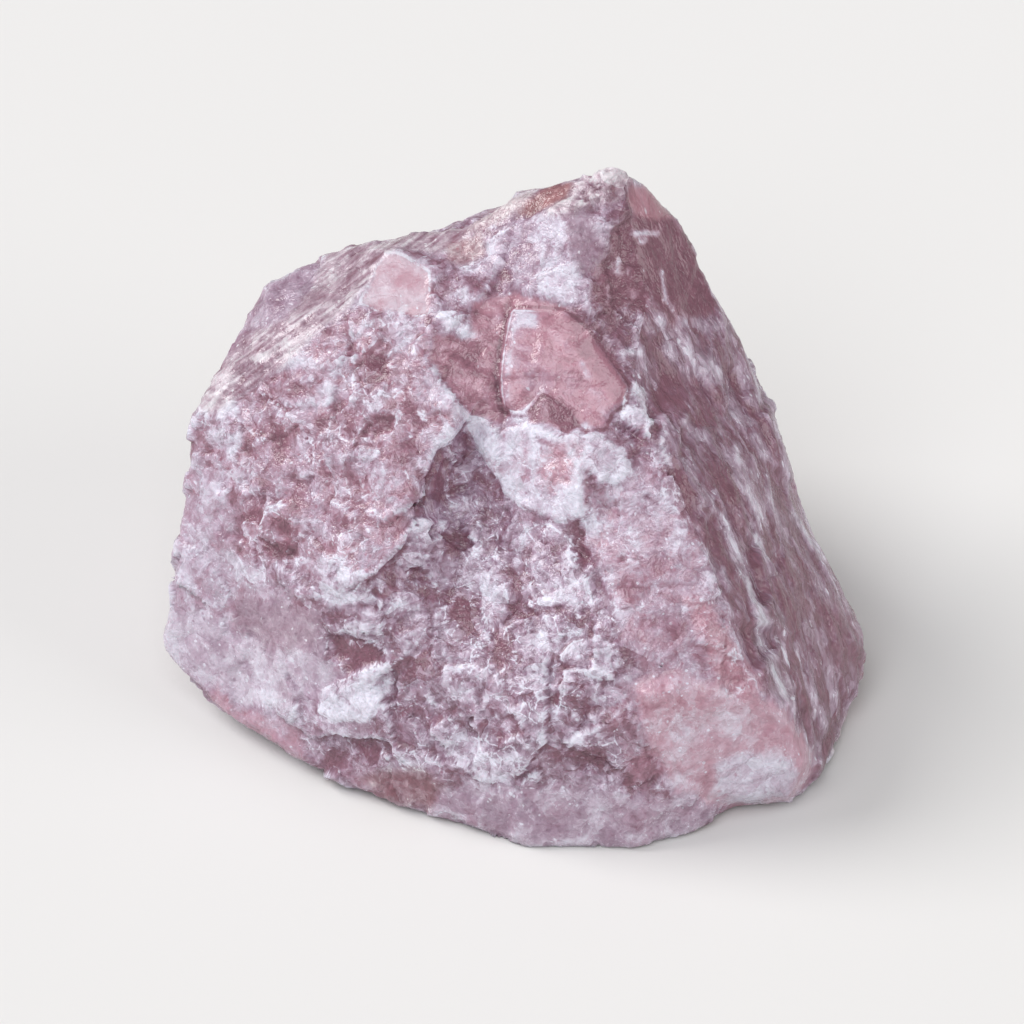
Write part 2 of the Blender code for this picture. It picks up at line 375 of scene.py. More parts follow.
# Parts of the seen side. Row: outline, softness, then how far it is frosted, deep rose,
# salmon, tan and calm (glassy), each 0 to 1.
ZONES = [
    # right face, then its clear red top
    ([(575, 300), (600, 297), (618, 330), (640, 372), (661, 430), (690, 481), (684, 517), (667, 543),
      (663, 533), (650, 510), (638, 498), (630, 480), (618, 455), (606, 428), (598, 408), (590, 390),
      (583, 375), (572, 358), (563, 345), (562, 330), (568, 315)], 3, 0.22, 0.62, 0.16, 0.08, 0.10),
    ([(583, 303), (600, 296), (610, 310), (616, 325), (621, 338), (611, 346), (602, 347), (592, 345),
      (582, 340), (574, 345), (566, 338), (567, 326), (574, 316), (577, 306)], 4, 0.00, 0.95, 0.75, 0.05, 0.40),
    ([(655, 462), (672, 466), (686, 480), (684, 498), (672, 500), (662, 485)], 4, 0.14, 0.66, 0.30, 0.15, 0.4),
    # front left face
    ([(398, 385), (405, 372), (435, 353), (462, 343), (480, 345), (498, 330), (498, 364), (512, 388),
      (498, 405), (490, 428), (484, 444), (470, 456), (440, 450), (415, 450), (386, 450), (390, 415)],
     3, 0.46, 0.36, 0.66, 0.0, 0.15),
    ([(386, 452), (390, 420), (400, 410), (412, 425), (412, 446), (425, 455), (440, 466), (425, 478),
      (400, 478), (380, 474)], 5, 0.56, 0.10, 0.60, 0.0, 0.45),
    # hollow and grainy lower middle
    ([(500, 403), (506, 398), (512, 392), (518, 402), (524, 413), (531, 422), (536, 434), (537, 446),
      (530, 452), (520, 450), (512, 454), (505, 464), (499, 470), (493, 458), (489, 448), (488, 440),
      (494, 428), (498, 415)], 2, 0.44, 0.42, 0.02, 0.0, 0.1),
    ([(470, 456), (489, 446), (500, 468), (512, 454), (537, 446), (556, 430), (562, 450), (572, 470),
      (579, 490), (580, 512), (590, 530), (598, 548), (560, 546), (520, 544), (480, 540), (455, 530),
      (478, 520), (482, 495), (462, 480), (452, 470)], 3, 0.42, 0.50, 0.28, 0.0, 0.0),
    # band beside the main ridge and the smooth pink foot under it
    ([(564, 420), (580, 412), (596, 408), (608, 430), (620, 455), (632, 482), (640, 500), (622, 502),
      (602, 498), (588, 494), (580, 478), (573, 460), (566, 440)], 3, 0.48, 0.22, 0.62, 0.0, 0.35),
    (SMOOTH_FOOT, 2.2, 0.58, 0.0, 1.0, 0.0, 0.72),
    ([(576, 500), (584, 503), (588, 516), (594, 530), (600, 545), (597, 553), (586, 546), (577, 532), (574, 515)],
     3, 0.36, 0.40, 0.60, 0.0, 0.2),
    ([(584, 507), (604, 503), (613, 510), (606, 519), (594, 524), (588, 518)], 3, 0.58, 0.0, 1.0, 0.0, 0.5),
    ([(618, 536), (634, 531), (650, 534), (656, 542), (650, 552), (634, 554), (622, 552)], 4, 0.74, 0.0, 0.60, 0.0, 0.6),
    ([(606, 466), (613, 464), (625, 482), (637, 503), (630, 508), (619, 495)], 3, 0.38, 0.14, 1.0, 0.0, 0.25),
    # bottom strip, lip and the calm grey patch over it
    ([(500, 548), (520, 545), (540, 546), (560, 548), (580, 550), (600, 551), (614, 553), (622, 560),
      (600, 570), (585, 577), (560, 576), (540, 577), (515, 569), (500, 560)], 2, 0.52, 0.12, 0.35, 0.05, 0.55),
    ([(374, 480), (385, 470), (400, 472), (412, 480), (430, 486), (450, 488), (462, 498), (452, 507),
      (434, 511), (418, 513), (404, 506), (392, 502), (376, 492)], 3, 0.66, 0.05, 0.25, 0.05, 0.65),
    ([(413, 466), (428, 466), (442, 469), (451, 470), (451, 487), (438, 487), (425, 484), (412, 478)],
     3, 0.40, 0.22, 0.22, 0.20, 0.65),
    ([(405, 500), (412, 512), (425, 515), (440, 521), (443, 536), (437, 540), (422, 531), (410, 522),
      (402, 510)], 2, 0.40, 0.15, 0.80, 0.0, 0.6),
    ([(466, 543), (480, 538), (497, 540), (503, 545), (495, 556), (478, 552)], 3, 0.26, 0.50, 0.35, 0.6, 0.3),
    # small top left facet, then the ribbed band along its edge
    ([(424, 326), (444, 318), (452, 322), (446, 335), (436, 345), (418, 355), (402, 372), (396, 382),
      (403, 366), (414, 348)], 2, 0.46, 0.22, 0.22, 0.08, 0.55),
    (RIBBED_BAND, 1.5, 0.55, 0.20, 0.10, 0.36, 0.6),
    # pale pink facet
    (PINK_FACET, 0.8, 0.64, 0.0, 1.0, 0.14, 1.0),
    # white crust under the peak, clear lens beside it, and the crest
    (UNDER_PEAK_CRUST, 3.5, 0.62, 0.10, 0.38, 0.0, 0.35),
    ([(554, 299), (563, 300), (571, 311), (576, 317), (569, 324), (564, 328), (559, 318), (556, 308)],
     2, 0.42, 0.36, 0.22, 0.15, 0.7),
    ([(546, 303), (550, 292), (558, 285), (567, 281), (577, 278), (586, 281), (584, 289), (578, 297),
      (566, 297), (558, 301)], 1.5, 0.54, 0.26, 0.15, 0.40, 0.0),
    ([(511, 308), (519, 301), (529, 294), (541, 290), (544, 294), (536, 299), (527, 304), (519, 309)],
     1.2, 0.50, 0.18, 0.30, 0.55, 0.4),
    ([(534, 301), (542, 293), (549, 287), (557, 286), (556, 294), (548, 298), (540, 302)],
     1.2, 0.12, 0.45, 0.65, 1.0, 0.5),
    ([(504, 313), (520, 309), (521, 318), (512, 322), (505, 320)], 1.5, 0.50, 0.20, 0.55, 0.6, 0.3),
    ([(583, 289), (590, 288), (598, 293), (602, 301), (594, 304), (585, 301), (581, 295)],
     1.5, 0.22, 0.35, 0.95, 0.2, 0.7),
    # around the glassy salmon facet
    (CLEAR_RECESS, 1.5, 0.22, 0.48, 0.85, 0.0, 0.45),
    (SALMON_STRIP,
     1.0, 0.30, 0.22, 1.0, 0.05, 0.8),
    (GLASSY_FACET,
     0.9, 0.22, 0.26, 0.80, 0.0, 0.60),
    # painted highlight: a pale zone at the top left corner of the glassy facet
    ([(533, 343), (543, 343), (544, 349), (534, 350)], 1.0, 0.66, 0.0, 0.60, 0.0, 0.85),
    ([(544, 346), (552, 345), (556, 353), (553, 360), (546, 358)], 2.0, 0.10, 0.36, 1.0, 0.0, 0.7),
    ([(557, 343), (564, 350), (572, 361), (582, 374), (580, 381), (574, 381), (568, 371), (560, 358)],
     0.7, 0.02, 0.55, 1.0, 0.0, 0.9),
    (DARK_TRIANGLE, 0.9, 0.06, 0.62, 0.70, 0.0, 0.6),
    # pale block
    (PALE_BLOCK, 1.6, 0.76, 0.0, 0.70, 0.0, 0.40),
    ([(543, 402), (551, 401), (557, 407), (557, 415), (549, 417), (544, 410)], 3.5, 0.64, 0.0, 1.0, 0.0, 0.4),
    ([(566, 398), (576, 401), (582, 408), (576, 413), (569, 410)], 2.5, 0.64, 0.04, 0.55, 0.0, 0.4),
]

# crisp white frosting, with a painted glint and a painted highlight among the rows
WHITE_AREAS = [
    ([(423, 335), (425, 327), (432, 324), (441, 322), (437, 327), (431, 330), (427, 335)], 1.0, 1.2),
    ([(419, 367), (424, 360), (434, 354), (439, 351), (437, 358), (431, 362), (425, 366)], 0.95, 1.0),
    ([(429, 370), (434, 364), (442, 360), (449, 357), (447, 363), (440, 368), (434, 371)], 0.85, 1.0),
    ([(447, 386), (447, 378), (452, 371), (460, 374), (458, 379), (454, 384)], 0.95, 1.4),
    ([(468, 384), (469, 379), (477, 376), (486, 374), (488, 377), (480, 383), (473, 386)], 0.95, 1.3),
    ([(408, 411), (410, 402), (414, 393), (418, 391), (417, 399), (413, 406)], 0.95, 1.0),
    ([(404, 387), (407, 381), (414, 379), (415, 385), (410, 389)], 0.85, 1.2),
    ([(496, 405), (498, 399), (505, 392), (513, 387), (516, 391), (509, 397), (504, 403), (499, 408)], 1.0, 0.9),
    ([(500, 345), (508, 343), (515, 347), (519, 353), (512, 355), (504, 351)], 0.95, 1.2),
    ([(507, 336), (509, 332), (514, 332), (515, 338), (511, 341)], 1.0, 0.9),
    ([(505, 323), (512, 320), (521, 321), (520, 327), (512, 328)], 0.85, 1.4),
    ([(480, 352), (486, 349), (491, 355), (488, 361), (482, 360)], 0.8, 1.5),
    ([(471, 409), (478, 406), (487, 410), (489, 417), (483, 422), (475, 418)], 0.85, 2.0),
    ([(468, 432), (476, 428), (487, 430), (488, 440), (480, 447), (470, 445)], 0.66, 2.5),
    ([(439, 449), (450, 444), (462, 447), (465, 455), (462, 461), (469, 467), (458, 470), (451, 466),
      (450, 456)], 0.95, 1.2),
    # painted glint: a white star of light at the lower left of the glassy facet
    ([(530, 386), (535, 384), (541, 380), (540, 388), (539, 392), (545, 391), (550, 393), (541, 396),
      (534, 392)], 1.0, 0.7),
    (WHITE_WEDGE, 1.0, 0.8),
    ([(598, 354), (604, 355), (612, 358), (619, 362), (624, 369), (619, 374), (611, 370), (603, 368),
      (598, 362)], 0.72, 1.8),
    ([(602, 344), (612, 343), (622, 347), (622, 352), (614, 352), (606, 349)], 0.66, 1.6),
    ([(603, 388), (609, 388), (618, 394), (619, 399), (612, 397)], 0.8, 1.2),
    # painted highlight: a white patch at the top left corner of the glassy facet
    ([(533, 342), (541, 342), (541, 347), (534, 349)], 0.8, 1.0),
    ([(586, 286), (590, 285), (596, 290), (595, 293), (589, 290)], 0.8, 0.8),
    # lower left
    ([(380, 480), (388, 478), (388, 486), (393, 494), (386, 493), (379, 487)], 0.9, 1.5),
    ([(391, 478), (401, 474), (408, 483), (414, 491), (418, 501), (411, 502), (403, 494), (395, 488)], 0.85, 2.2),
    ([(411, 503), (418, 501), (425, 504), (432, 508), (434, 511), (425, 513), (415, 511)], 1.0, 0.9),
    ([(428, 487), (440, 486), (450, 489), (447, 492), (436, 491), (428, 490)], 0.85, 1.3),
    ([(430, 495), (440, 494), (444, 500), (436, 504), (430, 502)], 0.75, 1.6),
    (LOW_CRUST, 1.12, 0.9),
    ([(478, 466), (487, 463), (496, 470), (501, 480), (494, 478), (484, 475)], 0.8, 1.6),
    ([(519, 455), (525, 451), (529, 458), (531, 470), (527, 477), (519, 474)], 0.88, 1.0),
    ([(549, 458), (556, 454), (565, 456), (566, 464), (560, 470), (551, 467)], 0.85, 1.5),
    ([(538, 428), (556, 431), (558, 442), (550, 450), (541, 444), (533, 434)], 0.6, 2.5),
    (GREY_SCALE, 0.84, 0.9),
    ([(572, 498), (579, 496), (580, 512), (574, 512)], 0.75, 1.0),
    ([(536, 488), (542, 486), (548, 492), (545, 500), (538, 500)], 0.7, 1.5),
    ([(499, 524), (512, 522), (526, 528), (541, 530), (538, 536), (520, 537), (504, 536)], 0.78, 1.6),
    ([(553, 520), (561, 517), (568, 522), (562, 529), (554, 528)], 0.78, 1.4),
    ([(553, 541), (566, 539), (577, 544), (572, 550), (559, 549)], 0.76, 1.5),
    ([(483, 520), (493, 518), (500, 522), (494, 527), (484, 526)], 0.6, 1.5),
    ([(600, 524), (606, 526), (612, 536), (611, 545), (604, 541), (600, 533)], 0.80, 1.8),
    ([(622, 541), (636, 534), (650, 537), (653, 547), (640, 551), (626, 552)], 0.95, 2.2),
    ([(587, 452), (594, 454), (598, 463), (594, 469), (588, 463)], 0.72, 1.6),
    ([(584, 483), (592, 482), (601, 488), (600, 493), (591, 493), (585, 489)], 0.74, 1.5),
    ([(576, 434), (584, 432), (588, 440), (582, 448), (577, 442)], 0.6, 1.8),
    ([(569, 400), (580, 402), (584, 412), (577, 417), (570, 412)], 0.75, 1.5),
    ([(510, 426), (503, 425), (500, 431), (505, 434), (512, 431)], 0.62, 1.3),
    ([(490, 431), (498, 430), (499, 438), (493, 442), (489, 438)], 0.82, 1.1),
]
# white lines, mostly frosting, with a painted glint and a painted highlight among them
WHITE_LINES = [
    ([(500, 366), (503, 375), (508, 381), (514, 388), (521, 391)], 1.2, 0.95),
    ([(538, 392), (548, 391), (555, 396), (563, 391), (571, 396)], 1.1, 1.0),
    ([(461, 404), (470, 401), (480, 402), (485, 406)], 0.9, 0.85),
    ([(537, 391), (532, 399), (530, 409)], 1.3, 1.0), ([(541, 392), (543, 401), (541, 412), (544, 421)], 1.0, 1.0),
    ([(548, 394), (557, 400), (561, 410), (560, 422)], 1.1, 1.0), ([(524, 392), (527, 402), (531, 412)], 1.0, 0.95),
    ([(466, 429), (475, 427), (484, 427), (491, 431)], 0.9, 0.8),
    ([(597, 325), (597, 331), (598, 337), (601, 342)], 0.8, 0.9),
    ([(609, 314), (613, 321), (617, 330), (619, 336)], 0.8, 0.7),
    ([(564, 339), (567, 345)], 1.3, 0.95),
    ([(562, 364), (565, 371)], 0.9, 0.95),
    ([(548, 351), (556, 357), (563, 367), (568, 378), (571, 388)], 1.6, 0.5),
    ([(586, 309), (595, 309)], 1.3, 1.0), ([(588, 313), (591, 312)], 1.0, 0.95),
    ([(578, 320), (578, 326)], 0.9, 0.8), ([(573, 332), (573, 337)], 0.8, 0.7),
    ([(580, 360), (587, 360)], 2.0, 0.75), ([(596, 392), (597, 401), (600, 408)], 1.0, 0.75),
    ([(634, 360), (638, 370), (640, 381)], 1.2, 0.75), ([(639, 395), (642, 404)], 2.0, 0.65),
    ([(630, 398), (631, 406)], 1.6, 0.65), ([(643, 412), (646, 428)], 1.3, 0.6),
    ([(566, 304), (570, 311), (575, 315)], 1.2, 0.75),
    ([(503, 486), (506, 492), (509, 498)], 0.8, 0.85), ([(492, 468), (497, 475), (501, 484)], 0.8, 0.7),
    # the first line here is a painted glint
    ([(588, 514), (592, 521)], 1.1, 1.0), ([(560, 479), (561, 479)], 1.4, 1.0),
    ([(580, 522), (585, 526), (586, 532)], 1.0, 0.75),
    ([(547, 473), (548, 478)], 1.6, 0.8),
    ([(418, 478), (424, 479)], 1.0, 0.75), ([(500, 438), (505, 434), (511, 434), (515, 438)], 0.8, 0.6),
    # long flakes of the right face
    ([(624, 430), (628, 440), (630, 448)], 3.4, 0.62),
    ([(631, 452), (635, 465), (639, 478), (643, 490), (649, 505)], 2.2, 0.66),
    ([(629, 481), (633, 490), (637, 500)], 3.2, 0.60),
    ([(638, 438), (641, 447)], 1.6, 0.80), ([(634, 418), (640, 430)], 2.0, 0.60),
    ([(653, 484), (657, 495), (661, 505), (664, 516)], 1.2, 0.75),
    ([(654, 428), (660, 437), (667, 448)], 2.4, 0.66),
    # painted highlight: a white line along the left edge of the salmon facet
    ([(534, 343), (533, 352), (531, 366), (530, 378)], 0.9, 0.75),
    ([(616, 444), (619, 452)], 1.2, 0.7), ([(623, 452), (625, 461)], 1.5, 0.75),
    ([(619, 419), (617, 431)], 0.9, 0.65), ([(679, 517), (675, 527)], 0.9, 0.8),
    ([(610, 450), (611, 457)], 0.9, 0.6), ([(660, 462), (663, 470)], 0.9, 0.6),
    ([(666, 476), (669, 484)], 0.9, 0.55), ([(602, 425), (603, 433)], 0.9, 0.6),
]
# deep rose: clear pits and edges
ROSE_AREAS = [
    ([(464, 364), (472, 360), (480, 362), (480, 371), (473, 376), (466, 372)], 1.0, 1.5),
    ([(469, 390), (476, 386), (483, 387), (482, 393), (474, 397), (468, 395)], 1.0, 1.0),
    ([(455, 384), (462, 380), (467, 386), (467, 396), (460, 399), (455, 392)], 0.85, 1.6),
    ([(447, 388), (453, 386), (455, 391), (450, 393)], 0.8, 1.2),
    ([(485, 386), (495, 382), (504, 388), (503, 392), (492, 394), (486, 391)], 0.7, 1.5),
    ([(426, 381), (430, 383), (434, 391), (437, 399), (432, 402), (427, 392)], 0.85, 1.2),
    ([(420, 390), (427, 390), (430, 399), (424, 402), (419, 397)], 0.7, 1.6),
    ([(414, 430), (420, 427), (427, 428), (426, 435), (418, 436)], 0.9, 1.0),
    ([(429, 427), (437, 431), (441, 437), (436, 440), (430, 434)], 0.9, 1.0),
    ([(423, 437), (430, 439), (438, 441), (439, 447), (430, 449), (424, 444)], 1.0, 1.0),
    ([(408, 438), (416, 440), (422, 446), (414, 447)], 0.6, 1.6),
    ([(459, 412), (466, 410), (471, 414), (470, 424), (464, 426), (461, 419)], 0.62, 1.6),
    ([(434, 415), (443, 417), (445, 426), (438, 428), (432, 421)], 0.5, 2.0),
    ([(452, 420), (458, 418), (458, 432), (453, 433)], 0.5, 1.6),
    ([(502, 366), (505, 360), (512, 357), (520, 359), (523, 364), (521, 370), (512, 373), (505, 371)], 0.8, 1.3),
    ([(526, 328), (528, 324), (532, 324), (531, 329), (528, 330)], 1.0, 0.7),
    ([(513, 341), (518, 339), (523, 345), (518, 349)], 0.7, 1.2),
    ([(513, 330), (520, 330), (518, 334), (514, 333)], 0.7, 0.9),
    ([(596, 410), (602, 409), (609, 418), (611, 428), (605, 431), (599, 423)], 0.95, 1.3),
    ([(587, 399), (592, 399), (592, 411), (588, 411)], 0.5, 1.4),
    ([(591, 351), (597, 353), (600, 362), (604, 372), (598, 371), (593, 362)], 0.95, 1.3),
    ([(563, 343), (567, 347), (574, 356), (582, 367), (578, 368), (569, 355)], 0.95, 1.0),
    ([(503, 438), (508, 433), (515, 437), (517, 444), (510, 448), (504, 447)], 0.75, 1.4),
    ([(500, 404), (506, 400), (509, 408), (512, 420), (505, 427), (499, 420)], 0.9, 1.5),
    ([(492, 452), (497, 451), (498, 462), (500, 468), (495, 464)], 0.9, 1.1),
    ([(504, 460), (512, 458), (519, 466), (520, 480), (512, 484), (506, 474)], 0.9, 1.8),
    ([(454, 481), (462, 480), (471, 483), (479, 489), (478, 493), (470, 494), (463, 496), (457, 489)], 1.0, 1.2),
    ([(471, 463), (479, 462), (479, 465), (471, 466)], 0.9, 0.8),
    ([(452, 471), (464, 471), (464, 474), (453, 475)], 0.7, 1.0),
    ([(480, 477), (487, 476), (487, 479), (480, 480)], 0.8, 0.8),
    ([(503, 488), (507, 488), (510, 497), (508, 498)], 0.9, 0.8),
    ([(519, 482), (532, 478), (535, 484), (532, 494), (524, 496), (519, 490)], 0.85, 1.5),
    ([(517, 424), (526, 424), (529, 432), (528, 446), (521, 447), (517, 436)], 0.7, 2.0),
    ([(556, 431), (561, 430), (563, 440), (566, 450), (562, 452), (558, 445)], 0.95, 0.9),
    ([(566, 456), (572, 457), (571, 464), (566, 463)], 0.7, 1.2),
    ([(545, 470), (556, 471), (568, 468), (572, 476), (560, 477), (548, 482)], 0.55, 1.8),
    ([(557, 528), (568, 526), (576, 530), (574, 536), (562, 538)], 0.85, 1.5),
    ([(528, 503), (540, 502), (546, 510), (540, 515), (530, 511)], 0.65, 1.8),
    ([(526, 521), (536, 521), (539, 527), (530, 529)], 0.6, 1.4),
    ([(484, 508), (496, 510), (501, 518), (492, 519), (484, 514)], 0.62, 1.8),
    ([(479, 511), (485, 510), (484, 516), (480, 515)], 0.75, 1.0),
    ([(449, 532), (456, 531), (461, 538), (457, 545), (450, 541)], 0.8, 1.3),
    ([(584, 508), (597, 507), (598, 513), (590, 516), (583, 513)], 0.4, 1.5),
    ([(611, 486), (615, 486), (617, 496), (612, 497)], 0.7, 1.2),
    ([(576, 455), (581, 455), (582, 463), (577, 462)], 0.5, 1.2),
    ([(618, 536), (620, 545), (616, 550), (614, 544)], 0.6, 0.9),
]
ROSE_LINES = [
    ([(538, 393), (543, 396), (551, 401)], 1.1, 0.85),
    ([(539, 396), (538, 406), (540, 415)], 0.8, 0.40), ([(547, 398), (553, 404), (556, 414)], 0.8, 0.35),
    ([(528, 384), (534, 384), (541, 379)], 1.0, 0.8), ([(530, 338), (529, 350), (526, 366), (525, 379)], 2.0, 0.9),
    ([(561, 408), (563, 415), (565, 424)], 1.1, 0.7), ([(551, 490), (558, 497), (563, 503), (564, 516)], 1.1, 0.75),
    ([(579, 512), (583, 519), (588, 528), (594, 540), (600, 551)], 1.1, 0.85),
    ([(507, 524), (513, 518)], 1.0, 0.8), ([(516, 521), (526, 529)], 0.8, 0.7),
    # painted shadow: a dark rose line under the overhanging edge of the front left face
    ([(513, 389), (507, 399), (501, 406), (498, 414), (498, 421), (494, 429), (490, 439), (485, 447),
      (479, 453), (470, 458)], 1.3, 0.85),
    ([(629, 455), (634, 470), (641, 487), (645, 500)], 1.4, 0.9),
    ([(649, 476), (655, 492), (661, 508), (667, 527)], 1.8, 0.9),
    ([(640, 448), (646, 460), (652, 474)], 1.3, 0.6), ([(633, 434), (637, 446), (640, 458)], 1.2, 0.75),
    ([(626, 424), (623, 440), (627, 452)], 1.0, 0.6), ([(652, 430), (658, 442), (666, 455)], 1.1, 0.6),
    ([(600, 340), (606, 352)], 1.0, 0.7), ([(612, 372), (618, 384), (622, 395)], 1.6, 0.6),
    ([(431, 369), (437, 367)], 0.7, 0.7), ([(425, 366), (430, 362)], 0.7, 0.6),
    ([(497, 526), (500, 534)], 0.8, 0.6), ([(530, 440), (533, 458), (536, 478)], 1.6, 0.6),
    ([(582, 540), (588, 548), (594, 553)], 1.5, 0.5),
]

# raised and sunken parts in mm. Row: outline, lift, softness of its edge
PLATES = [
    (PALE_BLOCK, 0.30, 1.0),
    ([(538, 392), (548, 394), (558, 400), (563, 410), (564, 420), (556, 420), (545, 410)], 0.15, 1.0),
    (CLEAR_RECESS, -0.28, 0.9),
    (SALMON_STRIP, -0.20, 0.8),
    (DARK_TRIANGLE, -0.10, 1.6),
    (WHITE_WEDGE, 0.22, 0.9),
    (PINK_FACET, -0.12, 0.9),
    (UNDER_PEAK_CRUST, 0.16, 1.0),
    (GREY_SCALE, 0.25, 0.8),
    (LOW_CRUST, 0.18, 0.9),
    ([(454, 481), (462, 480), (471, 483), (479, 489), (478, 493), (470, 494), (463, 496), (457, 489)], -0.30, 1.0),
    ([(503, 438), (508, 433), (515, 437), (517, 444), (510, 448), (504, 447)], -0.12, 1.4),
    ([(464, 364), (472, 360), (480, 362), (480, 371), (473, 376), (466, 372)], -0.20, 1.2),
    ([(469, 390), (476, 386), (483, 387), (482, 393), (474, 397), (468, 395)], -0.28, 1.0),
    (SMOOTH_FOOT, -0.16, 1.2),
    ([(556, 431), (561, 430), (563, 440), (566, 450), (573, 462), (579, 482), (572, 474), (562, 452),
      (558, 445)], -0.25, 1.0),
    ([(519, 455), (525, 451), (529, 458), (531, 470), (527, 477), (519, 474)], 0.15, 0.9),
    ([(466, 543), (480, 538), (497, 540), (503, 545), (495, 556), (478, 552)], -0.15, 2.5),
]
# glassy breaks, each one plane. Row: outline, softness of its edge
PLANES = [
    (CLEAR_RECESS, 2.0),
    (GLASSY_FACET, 1.6),
    (PINK_FACET, 1.6),
    ([(588, 505), (602, 499), (622, 503), (641, 508), (654, 522), (660, 535), (652, 550), (632, 552),
      (614, 548), (602, 545), (590, 526)], 5.0),
]
# flakes whose edge catches the light: the shader paints a white highlight along their rims
FLAKES_WITH_PAINTED_RIMS = [PALE_BLOCK, PINK_FACET, WHITE_WEDGE, GREY_SCALE, LOW_CRUST,
         [(519, 455), (525, 451), (529, 458), (531, 470), (527, 477), (519, 474)],
         [(536, 436), (548, 433), (557, 440), (563, 454), (566, 466), (558, 470), (546, 464), (538, 450)],
         [(628, 455), (634, 453), (640, 466), (645, 480), (650, 492), (655, 506), (651, 508), (645, 497),
          (638, 482), (632, 468)],
         [(459, 405), (470, 401), (484, 403), (489, 414), (486, 424), (476, 428), (464, 424)],
         [(439, 449), (450, 444), (462, 447), (468, 458), (460, 468), (450, 464)]]
OVERHANG = [(514, 388), (506, 398), (500, 405), (497, 412), (497, 420), (493, 428), (489, 438), (485, 446),
            (479, 452), (470, 457)]


def beside(at, line):
    """(distance to a line, +1 on its left and -1 on its right going along it)."""
    best = np.full(len(at), 1e9)
    side = np.zeros(len(at))
    for (x0, y0), (x1, y1) in zip(line[:-1], line[1:]):
        dx, dy = x1 - x0, y1 - y0
        t = np.clip(((at[:, 0] - x0) * dx + (at[:, 1] - y0) * dy) / (dx * dx + dy * dy), 0, 1)
        r = np.hypot(at[:, 0] - x0 - t * dx, at[:, 1] - y0 - t * dy)
        near = r < best
        best = np.where(near, r, best)
        side = np.where(near, np.sign(dy * (at[:, 0] - x0) - dx * (at[:, 1] - y0)), side)
    return best, side


def flattened(p, toward, seen):
    """The glassy breaks moved, along the way they are seen, onto the planes that fit them best."""
    at = on_view(p)
    for outline, soft in PLANES:
        inside = depth_in(at, outline)
        core = (inside > 0) & (seen > 0.5)
        flat = np.c_[at, np.ones(len(at))]
        plane = np.linalg.lstsq(flat[core], p[core] @ toward, rcond=None)[0]
        near = inside > -soft
        move = (flat[near] @ plane - p[near] @ toward) * seen[near] * ramp(inside[near], -soft, soft)
        p[near] += move[:, None] * toward
    return p


